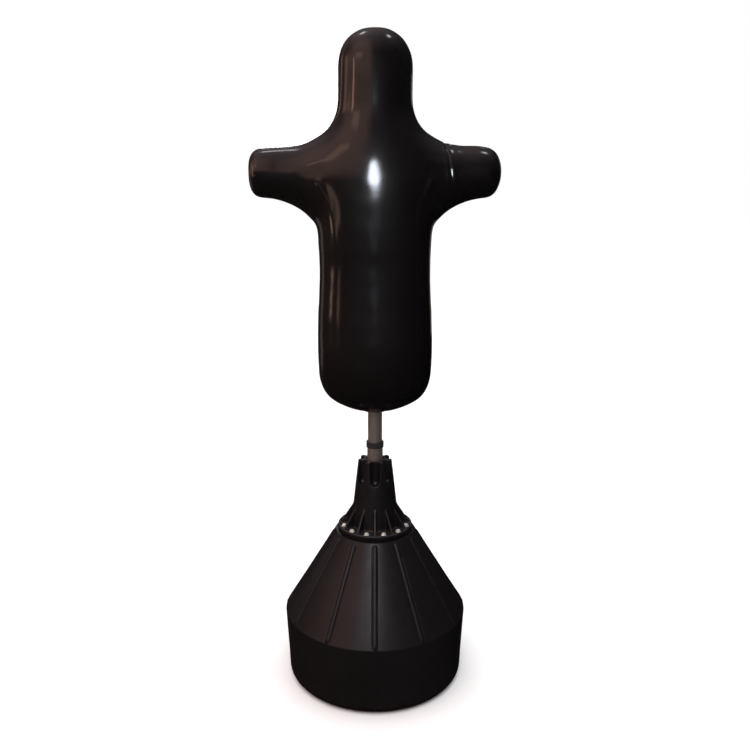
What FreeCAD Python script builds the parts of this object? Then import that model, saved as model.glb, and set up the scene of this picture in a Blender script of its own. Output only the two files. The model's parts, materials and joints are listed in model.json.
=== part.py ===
import FreeCAD, Part
import math
import os
from FreeCAD import Vector, Rotation, Placement

# Body opponent mannequin: a stuffed vinyl torso with a plain domed head and two
# short arm stubs, on a telescopic steel pole that drops into the ribbed neck
# collar of a fillable conical floor base.
# Millimetres, +Z up, origin at the bottom centre of the base, front faces -Y.

os.makedirs("parts", exist_ok=True)

# ---------------------------------------------------------------- dimensions
# floor base (blow-moulded tank)
BASE_CREASE_R = 250.0      # widest radius, at the crease between wall and cone
BASE_CREASE_Z = 190.0
BASE_LOW_R = 240.0         # wall radius just above the rounded floor edge
BASE_EDGE_R = 26.0         # rounded floor edge
CONE_TOP_R = 108.0
CONE_TOP_Z = 420.0         # deck that the collar is bolted to
TANK_WALL = 6.0
MOUTH_R = 80.0
DECK_THICK = 22.0
BEAD_COUNT = 12
BEAD_R = 8.0               # rounded bead, its centre sunk into the cone
BEAD_SINK = 4.6

# filler neck and cap, on the back of the cone between two beads
FILL_AZ = 75.0             # degrees from +X
FILL_Z = 338.0
FILL_BORE_R = 19.0
FILL_NECK_R = 24.0
FILL_NECK_H = 16.0
CAP_R = 29.5
CAP_SKIRT_R = 24.4
SEAL_T = 2.0
CAP_TOP_T = 4.0

# neck collar
GASKET_T = 2.0
FLANGE_Z = CONE_TOP_Z + GASKET_T        # 422
FLANGE_T = 11.0
FLANGE_R = 101.0
RIM_H = 3.0
RIM_W = 5.5
COLLAR_TOP_Z = 620.0
COLLAR_TIP_R = 43.0
NECK_RIB_Z = 490.0
NECK_RIB_R = 59.5
NECK_FOOT_R = 66.0
LOBES = 7
FLUTE_R = 13.4
FLUTE_FLOOR_R = 29.0
FLUTE_Z = 564.0
RIBS = 12
RIB_T = 5.0
SOCKET_R = 21.1
SOCKET_WALL = 6.0
SOCKET_FLOOR_Z = 250.0
SOCKET_TOP_Z = 470.0
PAD_T = 5.0

# fasteners
BOLTS = 12
BOLT_PCD_R = 87.5
BOLT_R = 3.0
BOLT_HEX = 10.0            # across flats
BOLT_HEAD_H = 4.0
WASHER_R = 7.0
WASHER_T = 1.6
INSERT_R = 5.0
INSERT_L = 16.0

# pole
LOWER_OD = 42.0
LOWER_ID = 38.2
LOWER_TOP_Z = 665.0
UPPER_OD = 38.0
UPPER_ID = 34.0
UPPER_BOTTOM_Z = 330.0
UPPER_TOP_Z = 1280.0
CLAMP_Z = 638.0
CLAMP_SCREW_R = 5.0
BOSS_R = 9.0
BOSS_END = 33.0
KNOB_R = 21.0
KNOB_IN = 46.5
KNOB_T = 16.0

# dummy
DUMMY_BOTTOM_Z = 760.0
DUMMY_TOP_Z = 1710.0
SKIN_T = 5.0
ARM_Z = 1370.5
ARM_HALF_SPAN = 315.5
CORE_ID = 38.6
CORE_OD = 43.0
CORE_TOP_Z = 1302.0
RING_R = 29.5              # sleeve of the entry ring, through the skin
RING_FLANGE_R = 34.0
RING_FLANGE_T = 3.0


# ------------------------------------------------------------------- helpers
def save(name, shape):
    if shape.ShapeType == "Compound" and len(shape.Solids) == 1:
        shape = shape.Solids[0]
    bad = "" if shape.isValid() else "  INVALID"
    print("%-22s solids %2d  volume %12.1f mm3%s" % (name, len(shape.Solids), shape.Volume, bad))
    shape.exportStep("parts/%s.step" % name)


def revolve(points):
    """Solid of revolution about Z from (r, z) points or ("arc", mid, end)."""
    edges = []
    last = points[0]
    for p in points[1:]:
        if p[0] == "arc":
            a = Vector(last[0], 0, last[1])
            m = Vector(p[1][0], 0, p[1][1])
            e = Vector(p[2][0], 0, p[2][1])
            edges.append(Part.Arc(a, m, e).toShape())
            last = p[2]
        else:
            edges.append(Part.LineSegment(Vector(last[0], 0, last[1]), Vector(p[0], 0, p[1])).toShape())
            last = p
    if math.hypot(last[0] - points[0][0], last[1] - points[0][1]) > 1e-7:
        edges.append(Part.LineSegment(Vector(last[0], 0, last[1]), Vector(points[0][0], 0, points[0][1])).toShape())
    face = Part.Face(Part.Wire(edges))
    return face.revolve(Vector(0, 0, 0), Vector(0, 0, 1), 360)


def tube(r_out, r_in, z0, z1):
    return Part.makeCylinder(r_out, z1 - z0, Vector(0, 0, z0)).cut(
        Part.makeCylinder(r_in, z1 - z0 + 2, Vector(0, 0, z0 - 1)))


def disc(r, z0, z1):
    return Part.makeCylinder(r, z1 - z0, Vector(0, 0, z0))


def polar(shape, count, start=0.0):
    out = []
    for k in range(count):
        s = shape.copy()
        s.rotate(Vector(0, 0, 0), Vector(0, 0, 1), start + 360.0 * k / count)
        out.append(s)
    return out


def arc_mid(cx, cz, r, deg):
    a = math.radians(deg)
    return (cx + r * math.cos(a), cz + r * math.sin(a))


def try_fillet(shape, radius, edges):
    try:
        f = shape.makeFillet(radius, edges)
        if f.isValid() and len(f.Solids) == 1 and f.Volume > 0.5 * shape.Volume:
            return f
    except Exception as e:
        print("   fillet left out:", radius, len(edges), str(e)[:60])
    return shape


# ----------------------------------------------------------------- base tank
slope = Vector(CONE_TOP_R - BASE_CREASE_R, 0, CONE_TOP_Z - BASE_CREASE_Z)
slope.normalize()
normal = Vector(slope.z, 0, -slope.x)                    # outward from the cone
w = TANK_WALL
in_r = BASE_CREASE_R - w
cone_in = Vector(BASE_CREASE_R, 0, BASE_CREASE_Z) - normal * w


def cone_inner_r(z):
    return cone_in.x + slope.x / slope.z * (z - cone_in.z)


def cone_outer_r(z):
    return BASE_CREASE_R + slope.x / slope.z * (z - BASE_CREASE_Z)


crease_in_z = cone_in.z + (in_r - cone_in.x) * slope.z / slope.x
ec = BASE_LOW_R - BASE_EDGE_R
outer = [
    (0, 0), (ec, 0),
    ("arc", arc_mid(ec, BASE_EDGE_R, BASE_EDGE_R, -45), (BASE_LOW_R, BASE_EDGE_R)),
    (BASE_CREASE_R, BASE_CREASE_Z),
    (CONE_TOP_R, CONE_TOP_Z),
    (0, CONE_TOP_Z),
]
ir = BASE_EDGE_R - w
inner = [
    (0, w), (ec, w),
    ("arc", arc_mid(ec, BASE_EDGE_R, ir, -45), (BASE_LOW_R - w, BASE_EDGE_R)),
    (in_r, crease_in_z),
    (cone_inner_r(CONE_TOP_Z - DECK_THICK), CONE_TOP_Z - DECK_THICK),
    (0, CONE_TOP_Z - DECK_THICK),
]
tank = revolve(outer)
# raised half-round beads down the cone, from under the flange to the crease
b0, b1 = BASE_CREASE_Z - 12.0, 409.0
base = Vector(cone_outer_r(b0), 0, b0) - normal * BEAD_SINK
top = Vector(cone_outer_r(b1), 0, b1) - normal * BEAD_SINK
bead = Part.makeCylinder(BEAD_R, (top - base).Length, base, top - base).fuse(Part.makeSphere(BEAD_R, top))
bead = bead.common(disc(BASE_CREASE_R - 0.05, BASE_CREASE_Z + 0.02, CONE_TOP_Z))
beads = polar(bead, BEAD_COUNT, -90.0)
# filler neck
fill_frame_r = cone_outer_r(FILL_Z)
fill_pos = Vector(fill_frame_r, 0, FILL_Z)


def at_filler(shape):
    """Moves a shape drawn about +Z at the origin onto the filler axis."""
    s = shape.copy()
    s.rotate(Vector(0, 0, 0), Vector(0, 1, 0), math.degrees(math.atan2(normal.x, normal.z)))
    s.translate(fill_pos)
    s.rotate(Vector(0, 0, 0), Vector(0, 0, 1), FILL_AZ)
    return s


neck = at_filler(Part.makeCylinder(FILL_NECK_R, FILL_NECK_H + 9.0, Vector(0, 0, -9.0)))
skirt = at_filler(Part.makeCylinder(FILL_NECK_R + 8.0, 9.5, Vector(0, 0, -8.0)))
tank = tank.fuse(beads + [neck, skirt])
tank = tank.cut(revolve(inner))
tank = tank.cut(at_filler(Part.makeCylinder(FILL_BORE_R, 60.0, Vector(0, 0, -30.0))))
tank = tank.cut(Part.makeCylinder(MOUTH_R, 60.0, Vector(0, 0, CONE_TOP_Z - 40.0)))
insert_hole = Part.makeCylinder(INSERT_R, INSERT_L, Vector(BOLT_PCD_R, 0, CONE_TOP_Z - INSERT_L))
tank = tank.cut(polar(insert_hole, BOLTS, -75.0))
save("base_shell", tank)

# threaded brass inserts moulded in the deck
ins = Part.makeCylinder(INSERT_R, INSERT_L, Vector(BOLT_PCD_R, 0, CONE_TOP_Z - INSERT_L)).cut(
    Part.makeCylinder(BOLT_R + 0.05, INSERT_L + 2, Vector(BOLT_PCD_R, 0, CONE_TOP_Z - INSERT_L - 1)))
save("tank_inserts", Part.makeCompound(polar(ins, BOLTS, -75.0)))

# gasket between deck and flange
gasket = tube(FLANGE_R - 3.0, MOUTH_R, CONE_TOP_Z, FLANGE_Z)
gasket = gasket.cut(polar(Part.makeCylinder(BOLT_R + 0.4, 10, Vector(BOLT_PCD_R, 0, CONE_TOP_Z - 4)), BOLTS, -75.0))
save("flange_gasket", gasket)

# --------------------------------------------------------------- neck collar
ftop = FLANGE_Z + FLANGE_T
rim_top = ftop + RIM_H
so = SOCKET_R + SOCKET_WALL
rr = RIM_W / 2.0


def neck_r(z):
    if z >= NECK_RIB_Z:
        return COLLAR_TIP_R + (NECK_RIB_R - COLLAR_TIP_R) * (COLLAR_TOP_Z - z) / (COLLAR_TOP_Z - NECK_RIB_Z)
    return NECK_RIB_R + (NECK_FOOT_R - NECK_RIB_R) * (NECK_RIB_Z - z) / (NECK_RIB_Z - ftop)


collar = revolve([
    (0, FLANGE_Z - 12),
    (MOUTH_R - 2.6, FLANGE_Z - 12), (MOUTH_R - 0.6, FLANGE_Z - 10),
    (MOUTH_R - 0.6, FLANGE_Z),
    (FLANGE_R - 2, FLANGE_Z),
    ("arc", arc_mid(FLANGE_R - 2, FLANGE_Z + 2, 2, -45), (FLANGE_R, FLANGE_Z + 2)),
    (FLANGE_R, rim_top - rr),
    ("arc", (FLANGE_R - rr, rim_top), (FLANGE_R - RIM_W, rim_top - rr)),
    (FLANGE_R - RIM_W, ftop),
    (neck_r(ftop) + 5, ftop),
    ("arc", (neck_r(ftop) + 1.9, ftop + 1.6), (neck_r(ftop + 6), ftop + 6)),
    (neck_r(NECK_RIB_Z), NECK_RIB_Z),
    (COLLAR_TIP_R + 0.2, COLLAR_TOP_Z - 1.6),
    ("arc", (COLLAR_TIP_R - 0.5, COLLAR_TOP_Z - 0.5), (COLLAR_TIP_R - 1.8, COLLAR_TOP_Z)),
    (0, COLLAR_TOP_Z),
])
# triangular gussets
rib_face = Part.Face(Part.makePolygon([
    Vector(neck_r(ftop) - 3, -RIB_T / 2, ftop - 3), Vector(FLANGE_R - RIM_W + 1, -RIB_T / 2, ftop - 3),
    Vector(FLANGE_R - RIM_W + 1, -RIB_T / 2, ftop + 2.5), Vector(NECK_RIB_R - 0.6, -RIB_T / 2, NECK_RIB_Z + 2),
    Vector(NECK_RIB_R - 3.5, -RIB_T / 2, NECK_RIB_Z), Vector(neck_r(ftop) - 3, -RIB_T / 2, ftop - 3)]))
rib = rib_face.extrude(Vector(0, RIB_T, 0))
collar = collar.fuse(polar(rib, RIBS, -90.0))
# flutes between the lobes, open at the top and ending in a scooped shelf
flute_c = FLUTE_FLOOR_R + FLUTE_R
flute = Part.makeCylinder(FLUTE_R, COLLAR_TOP_Z - FLUTE_Z + 10, Vector(flute_c, 0, FLUTE_Z))
flute = flute.fuse(Part.makeSphere(FLUTE_R, Vector(flute_c, 0, FLUTE_Z)).cut(
    Part.makeBox(60, 60, 60, Vector(flute_c - 30, -30, FLUTE_Z - 65))))
collar = collar.cut(polar(flute, LOBES, -90.0))
collar = collar.cut(Part.makeCylinder(SOCKET_R, 500, Vector(0, 0, SOCKET_FLOOR_Z)))
collar = collar.cut(Part.makeCylinder(so, SOCKET_TOP_Z - 300.0, Vector(0, 0, 300.0)))
collar = collar.cut(Part.makeCone(SOCKET_R, SOCKET_R + 2.0, 2.0, Vector(0, 0, COLLAR_TOP_Z - 2.0)))
collar = collar.cut(polar(Part.makeCylinder(BOLT_R + 0.3, 40, Vector(BOLT_PCD_R, 0, FLANGE_Z - 15)), BOLTS, -75.0))
save("neck_collar", collar)

# closed socket tube that carries on under the collar, down into the tank
z0 = SOCKET_FLOOR_Z - SOCKET_WALL
socket = revolve([
    (0, z0), (so - 4, z0), ("arc", arc_mid(so - 4, z0 + 4, 4, -45), (so, z0 + 4)),
    (so, SOCKET_TOP_Z), (SOCKET_R, SOCKET_TOP_Z), (SOCKET_R, SOCKET_FLOOR_Z), (0, SOCKET_FLOOR_Z)])
save("pole_socket", socket)

# rubber pad that the pole stands on, at the bottom of the socket
pad = disc(SOCKET_R - 0.3, SOCKET_FLOOR_Z, SOCKET_FLOOR_Z + PAD_T)
save("socket_pad", pad)

# washers and hex bolts
washer = Part.makeCylinder(WASHER_R, WASHER_T, Vector(BOLT_PCD_R, 0, ftop)).cut(
    Part.makeCylinder(BOLT_R + 0.2, WASHER_T + 2, Vector(BOLT_PCD_R, 0, ftop - 1)))
save("flange_washers", Part.makeCompound(polar(washer, BOLTS, -75.0)))
hex_r = BOLT_HEX / math.sqrt(3.0)
hz = ftop + WASHER_T
hexa = Part.Face(Part.makePolygon([
    Vector(BOLT_PCD_R + hex_r * math.cos(math.radians(60 * i)), hex_r * math.sin(math.radians(60 * i)), hz)
    for i in range(7)])).extrude(Vector(0, 0, BOLT_HEAD_H))
dome = Part.makeCone(hex_r + 2.6, hex_r - 1.0, BOLT_HEAD_H + 2.2, Vector(BOLT_PCD_R, 0, hz - 2.2 + 0.001))
head = hexa.common(dome)
bolt = head.fuse(Part.makeCylinder(BOLT_R, hz - (CONE_TOP_Z - INSERT_L + 1), Vector(BOLT_PCD_R, 0, CONE_TOP_Z - INSERT_L + 1)))
save("flange_bolts", Part.makeCompound(polar(bolt.removeSplitter(), BOLTS, -75.0)))

# ---------------------------------------------------------------- filler cap
seal_z = FILL_NECK_H
seal = Part.makeCylinder(CAP_SKIRT_R - 0.6, SEAL_T, Vector(0, 0, seal_z))
save("filler_seal", at_filler(seal))
cap_top = seal_z + SEAL_T + CAP_TOP_T
cap_low = 4.5
cap = Part.makeCylinder(CAP_R, cap_top - cap_low, Vector(0, 0, cap_low))
cap = try_fillet(cap, 1.8, [e for e in cap.Edges if e.BoundBox.ZMin > cap_top - 0.01])
cap = cap.cut(Part.makeCylinder(CAP_SKIRT_R, seal_z + SEAL_T - cap_low + 5, Vector(0, 0, cap_low - 5)))
for k in range(24):
    g = Part.makeCylinder(1.5, 40, Vector(CAP_R + 0.7, 0, 0))
    g.rotate(Vector(0, 0, 0), Vector(0, 0, 1), 15.0 * k)
    cap = cap.cut(g)
bar = Part.makeBox(2 * CAP_R - 14, 7, 5, Vector(-CAP_R + 7, -3.5, cap_top - 1))
bar = try_fillet(bar, 2.0, [e for e in bar.Edges if e.BoundBox.ZMin > cap_top])
cap = cap.fuse(bar)
save("filler_cap", at_filler(cap))

# ---------------------------------------------------------------- lower pole
plug_z = SOCKET_FLOOR_Z + PAD_T + 0.2
plug = disc(LOWER_OD / 2, plug_z, plug_z + 3.0).fuse(disc(LOWER_ID / 2, plug_z + 3.0, plug_z + 18.0))
save("lower_pole_plug", plug)
lower_z0 = plug_z + 3.0
lower = tube(LOWER_OD / 2, LOWER_ID / 2, lower_z0, LOWER_TOP_Z)
hole = Part.makeCylinder(CLAMP_SCREW_R + 0.3, 30, Vector(0, 10, CLAMP_Z), Vector(0, 1, 0))
lower = lower.cut(hole)
save("lower_pole", lower)
# nylon guide bush on the top of the lower pole
bush = tube(LOWER_OD / 2 + 2.4, UPPER_OD / 2 + 0.1, LOWER_TOP_Z - 12.0, LOWER_TOP_Z + 4.0)
bush = bush.cut(tube(LOWER_OD / 2, UPPER_OD / 2 - 1, LOWER_TOP_Z - 13.0, LOWER_TOP_Z))
bush = try_fillet(bush, 1.2, [e for e in bush.Edges if abs(e.BoundBox.ZMin - (LOWER_TOP_Z + 4.0)) < 0.01
                              and e.BoundBox.XLength > LOWER_OD])
save("guide_bush", bush)
# threaded clamp boss welded to the back of the lower pole
boss = Part.makeCylinder(BOSS_R, BOSS_END - 15.0, Vector(0, 15.0, CLAMP_Z), Vector(0, 1, 0))
boss = boss.cut(Part.makeCylinder(LOWER_OD / 2, 60, Vector(0, 0, CLAMP_Z - 30)))
boss = boss.cut(Part.makeCylinder(CLAMP_SCREW_R + 0.06, 60, Vector(0, 0, CLAMP_Z), Vector(0, 1, 0)))
save("clamp_boss", boss)
# clamp screw, its nylon tip and its five-lobed knob
tip_y = UPPER_OD / 2 + 0.1
tip = Part.makeCylinder(CLAMP_SCREW_R - 0.8, 3.0, Vector(0, tip_y, CLAMP_Z), Vector(0, 1, 0))
save("clamp_tip", tip)
screw = Part.makeCylinder(CLAMP_SCREW_R, KNOB_IN + 10 - tip_y - 3.0, Vector(0, tip_y + 3.0, CLAMP_Z), Vector(0, 1, 0))
save("clamp_screw", screw)
knob = Part.makeCylinder(KNOB_R, KNOB_T, Vector(0, 0, 0))
cuts = []
for k in range(5):
    c = Part.makeCylinder(9.0, KNOB_T + 2, Vector(KNOB_R + 4.5, 0, -1))
    c.rotate(Vector(0, 0, 0), Vector(0, 0, 1), 36 + 72.0 * k)
    cuts.append(c)
knob = knob.cut(cuts)
knob = try_fillet(knob, 2.2, [e for e in knob.Edges if e.BoundBox.ZLength < 0.01])
knob = knob.fuse(Part.makeCylinder(9.5, 8.0, Vector(0, 0, -7.0)))
knob = knob.cut(Part.makeCylinder(CLAMP_SCREW_R, 17.0, Vector(0, 0, -7.0)))
knob.rotate(Vector(0, 0, 0), Vector(1, 0, 0), -90)
knob.translate(Vector(0, KNOB_IN, CLAMP_Z))
save("clamp_knob", knob)

# ---------------------------------------------------------------- upper pole
upper = tube(UPPER_OD / 2, UPPER_ID / 2, UPPER_BOTTOM_Z, UPPER_TOP_Z)
save("upper_pole", upper)
foot = disc(UPPER_OD / 2, UPPER_BOTTOM_Z - 4.0, UPPER_BOTTOM_Z).fuse(
    disc(UPPER_ID / 2, UPPER_BOTTOM_Z, UPPER_BOTTOM_Z + 16.0))
save("upper_pole_foot", foot)
pcap = disc(UPPER_OD / 2, UPPER_TOP_Z, UPPER_TOP_Z + 4.0).fuse(
    disc(UPPER_ID / 2, UPPER_TOP_Z - 16.0, UPPER_TOP_Z))
save("upper_pole_cap", pcap)

# ---------------------------------------------------------------- dummy core
thrust_z = UPPER_TOP_Z + 4.0 + 0.2
thrust = disc(CORE_ID / 2 - 0.3, thrust_z, thrust_z + 4.0)
save("thrust_disc", thrust)
stop_z = thrust_z + 4.0 + 0.2
core = tube(CORE_OD / 2, CORE_ID / 2, DUMMY_BOTTOM_Z + 4.0, CORE_TOP_Z)
save("core_tube", core)
stop = disc(CORE_ID / 2, stop_z, stop_z + 6.0)
save("core_stop_plate", stop)
plate_lo = tube(75.0, CORE_OD / 2, 812.0, 816.0)
save("anchor_plate_lower", plate_lo)
plate_hi = tube(60.0, CORE_OD / 2, 1286.0, 1290.0)
save("anchor_plate_upper", plate_hi)
r0, r1, ra = DUMMY_BOTTOM_Z - RING_FLANGE_T, DUMMY_BOTTOM_Z, 1.4
ring = revolve([
    (CORE_ID / 2 + ra, r0), (RING_FLANGE_R - ra, r0),
    ("arc", arc_mid(RING_FLANGE_R - ra, r0 + ra, ra, -45), (RING_FLANGE_R, r0 + ra)),
    (RING_FLANGE_R, r1), (RING_R, r1), (RING_R, r1 + 6.0), (CORE_OD / 2, r1 + 6.0),
    (CORE_OD / 2, r1 + 4.0), (CORE_ID / 2, r1 + 4.0), (CORE_ID / 2, r0 + ra),
    ("arc", arc_mid(CORE_ID / 2 + ra, r0 + ra, ra, -135), (CORE_ID / 2 + ra, r0))])
save("entry_ring", ring)

# ---------------------------------------------------------------- dummy body
# (z, half width, half depth, centre offset in y, superellipse exponent) of the
# trunk, neck and head
TRUNK = [
    (760.0, 40.0, 36.0, 0.0, 2.2), (766.0, 66.0, 50.0, 0.0, 2.25), (777.0, 92.0, 66.0, 0.0, 2.3),
    (784.5, 106.0, 75.5, 0.0, 2.35), (797.0, 122.5, 86.5, 0.0, 2.4), (812.0, 133.5, 94.0, 0.0, 2.4),
    (832.0, 141.8, 100.0, 0.0, 2.4), (861.0, 147.5, 103.5, 0.0, 2.4), (920.0, 149.5, 105.0, 0.0, 2.4),
    (990.0, 148.0, 102.0, -0.4, 2.4), (1070.0, 144.0, 98.2, -1.2, 2.4), (1140.0, 142.0, 98.0, -2.5, 2.4),
    (1200.0, 144.0, 101.8, -4.2, 2.4), (1250.0, 146.0, 105.6, -4.6, 2.35), (1300.0, 146.4, 108.6, -4.6, 2.3),
    (1345.0, 145.2, 109.4, -4.2, 2.3), (1385.0, 140.8, 108.4, -3.6, 2.25), (1415.0, 134.2, 106.4, -3.2, 2.2),
    (1440.0, 126.8, 103.5, -2.7, 2.2), (1465.0, 117.0, 99.7, -1.7, 2.1), (1490.0, 106.0, 96.0, -0.6, 2.05),
    (1512.0, 98.0, 94.0, 0.3, 2.0), (1531.0, 93.8, 93.4, 0.9, 2.0), (1560.0, 92.1, 93.7, 2.0, 2.0),
    (1600.0, 92.0, 93.6, 3.3, 2.0), (1630.0, 91.2, 92.5, 3.9, 2.0), (1650.0, 88.0, 89.0, 3.5, 2.0),
    (1672.0, 78.5, 80.2, 2.8, 2.0), (1690.0, 63.5, 66.0, 2.0, 2.0), (1703.0, 44.0, 46.5, 1.5, 2.0),
    (1709.0, 21.0, 23.0, 1.0, 2.0), (1710.0, 8.0, 9.0, 1.0, 2.0),
]
# (x, top z, bottom z, half depth) of an arm stub, from inside the chest outwards
ARM = [
    (70.0, 1478.0, 1240.0, 88.0), (110.0, 1471.0, 1250.0, 86.0), (140.0, 1461.0, 1254.0, 80.5),
    (165.0, 1450.0, 1264.0, 75.0), (190.0, 1441.5, 1283.0, 69.0), (220.0, 1436.5, 1297.0, 64.5),
    (255.0, 1433.0, 1307.0, 62.0), (285.0, 1431.0, 1310.0, 61.0), (300.0, 1425.0, 1316.0, 56.0),
    (309.0, 1413.0, 1328.0, 44.0), (314.0, 1398.0, 1343.0, 28.0), (315.5, 1379.0, 1362.0, 8.0),
]


def pchip(xs, ys, x):
    """Monotone cubic through (xs, ys), so that the profile never overshoots."""
    n = len(xs)
    h = [xs[i + 1] - xs[i] for i in range(n - 1)]
    d = [(ys[i + 1] - ys[i]) / h[i] for i in range(n - 1)]
    m = [d[0]] + [0.0] * (n - 2) + [d[-1]]
    for i in range(1, n - 1):
        if d[i - 1] * d[i] > 0:
            w1, w2 = 2 * h[i] + h[i - 1], h[i] + 2 * h[i - 1]
            m[i] = (w1 + w2) / (w1 / d[i - 1] + w2 / d[i])
    i = max(j for j in range(n - 1) if x >= xs[j] or j == 0)
    t = (x - xs[i]) / h[i]
    return ((1 + 2 * t) * (1 - t) ** 2 * ys[i] + t * (1 - t) ** 2 * h[i] * m[i]
            + t * t * (3 - 2 * t) * ys[i + 1] + t * t * (t - 1) * h[i] * m[i + 1])


def even_rows(table, count):
    """Rows at even steps of arc length along the table's first two columns."""
    xs = [r[0] for r in table]
    cols = [[r[k] for r in table] for k in range(len(table[0]))]
    fine = [xs[0] + (xs[-1] - xs[0]) * i / 2000.0 for i in range(2001)]
    ys = [pchip(xs, cols[1], x) for x in fine]
    run = [0.0]
    for i in range(1, len(fine)):
        run.append(run[-1] + math.hypot(fine[i] - fine[i - 1], ys[i] - ys[i - 1]))
    rows, j = [], 0
    for k in range(count):
        want = run[-1] * k / (count - 1)
        while j < len(run) - 1 and run[j] < want:
            j += 1
        x = fine[j]
        rows.append([x] + [pchip(xs, c, x) for c in cols[1:]])
    return rows


def ring_wire(plane, c, a, b, power, n=28):
    pts = []
    for i in range(n):
        t = 2 * math.pi * i / n
        ct, st = math.cos(t), math.sin(t)
        q = (abs(ct) ** power + abs(st) ** power) ** (-1.0 / power)
        u, v = a * ct * q, b * st * q
        pts.append(Vector(c.x + u, c.y + v, c.z) if plane == "xy" else Vector(c.x, c.y + u, c.z + v))
    curve = Part.BSplineCurve()
    curve.interpolate(Points=pts, PeriodicFlag=True)
    return Part.Wire([curve.toShape()])


def trunk_solid(inset):
    wires = []
    z_lo, z_hi = TRUNK[0][0], TRUNK[-1][0]
    for z, a, b, y, power in even_rows(TRUNK, 44):
        zz = z_lo + inset + (z - z_lo) * (z_hi - z_lo - 2 * inset) / (z_hi - z_lo)
        wires.append(ring_wire("xy", Vector(0, y, zz), max(a - inset, a * 0.55), max(b - inset, b * 0.55), power))
    return Part.makeLoft(wires, True, False)


def arm_solid(inset, side):
    wires = []
    rows = [[x, (t - b) / 2.0, (t + b) / 2.0, d] for x, t, b, d in ARM]
    for x, h, c, d in even_rows(rows, 26):
        xx = x - inset * min(1.0, max(0.0, (x - 200.0) / 90.0))
        wires.append(ring_wire("yz", Vector(side * xx, 0, c), max(d - inset, d * 0.55), max(h - inset, h * 0.55), 2.0))
    return Part.makeLoft(wires, True, False)


def body_solid(inset):
    t = trunk_solid(inset)
    return t.fuse([arm_solid(inset, 1), arm_solid(inset, -1)])


outer_body = body_solid(0.0)
inner_body = body_solid(SKIN_T)
skin = outer_body.cut(inner_body).cut(Part.makeCylinder(RING_R, 40.0, Vector(0, 0, DUMMY_BOTTOM_Z - 20.0)))
save("dummy_skin", skin)
foam = inner_body.cut(Part.makeCylinder(CORE_OD / 2, CORE_TOP_Z - DUMMY_BOTTOM_Z + 20, Vector(0, 0, DUMMY_BOTTOM_Z - 20)))
foam = foam.cut(Part.makeCylinder(RING_R, 26.0, Vector(0, 0, DUMMY_BOTTOM_Z - 20.0)))
foam = foam.cut(Part.makeCylinder(75.0, 4.0, Vector(0, 0, 812.0)))
foam = foam.cut(Part.makeCylinder(60.0, 4.0, Vector(0, 0, 1286.0)))
save("dummy_foam", foam)
bb = outer_body.BoundBox
print("dummy box", [round(v, 1) for v in (bb.XMin, bb.XMax, bb.YMin, bb.YMax, bb.ZMin, bb.ZMax)])
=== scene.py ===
import json
import math

import bmesh
import bpy
import numpy as np
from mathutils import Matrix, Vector


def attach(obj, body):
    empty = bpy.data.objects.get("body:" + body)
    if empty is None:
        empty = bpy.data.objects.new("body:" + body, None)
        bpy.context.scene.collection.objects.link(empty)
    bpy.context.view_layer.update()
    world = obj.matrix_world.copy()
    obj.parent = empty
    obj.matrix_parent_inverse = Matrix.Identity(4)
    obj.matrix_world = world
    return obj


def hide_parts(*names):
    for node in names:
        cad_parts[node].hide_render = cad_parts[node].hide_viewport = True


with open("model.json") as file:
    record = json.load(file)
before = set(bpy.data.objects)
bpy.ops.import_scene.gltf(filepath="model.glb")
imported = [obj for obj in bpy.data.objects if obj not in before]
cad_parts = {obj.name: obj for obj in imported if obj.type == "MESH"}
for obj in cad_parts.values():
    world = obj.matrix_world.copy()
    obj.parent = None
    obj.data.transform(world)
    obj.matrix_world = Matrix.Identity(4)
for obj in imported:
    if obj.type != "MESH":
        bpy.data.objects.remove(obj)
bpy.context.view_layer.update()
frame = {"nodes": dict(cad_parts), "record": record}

NODES = frame["nodes"]
MM = 0.001

# =============================================================== mesh helpers


def mesh_object(name, verts, faces, smooth=True):
    """Object from an (n, 3) array in metres and a list of face arrays, each (m, k)."""
    me = bpy.data.meshes.new(name)
    verts = np.ascontiguousarray(verts, np.float32)
    me.vertices.add(len(verts))
    me.vertices.foreach_set("co", verts.ravel())
    loops, starts, n = [], [], 0
    for f in faces:
        f = np.asarray(f, np.int32)
        if len(f) == 0:
            continue
        loops.append(f.ravel())
        starts.append(n + np.arange(len(f), dtype=np.int32) * f.shape[1])
        n += f.size
    loops, starts = np.concatenate(loops), np.concatenate(starts)
    me.loops.add(len(loops))
    me.loops.foreach_set("vertex_index", loops)
    me.polygons.add(len(starts))
    me.polygons.foreach_set("loop_start", starts)
    me.update(calc_edges=True)
    me.validate()
    if smooth:
        me.polygons.foreach_set("use_smooth", np.ones(len(me.polygons), bool))
    me.update()
    ob = bpy.data.objects.new(name, me)
    bpy.context.scene.collection.objects.link(ob)
    return ob


def sharpen(ob, degrees):
    ob.data.set_sharp_from_angle(angle=math.radians(degrees))


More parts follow.
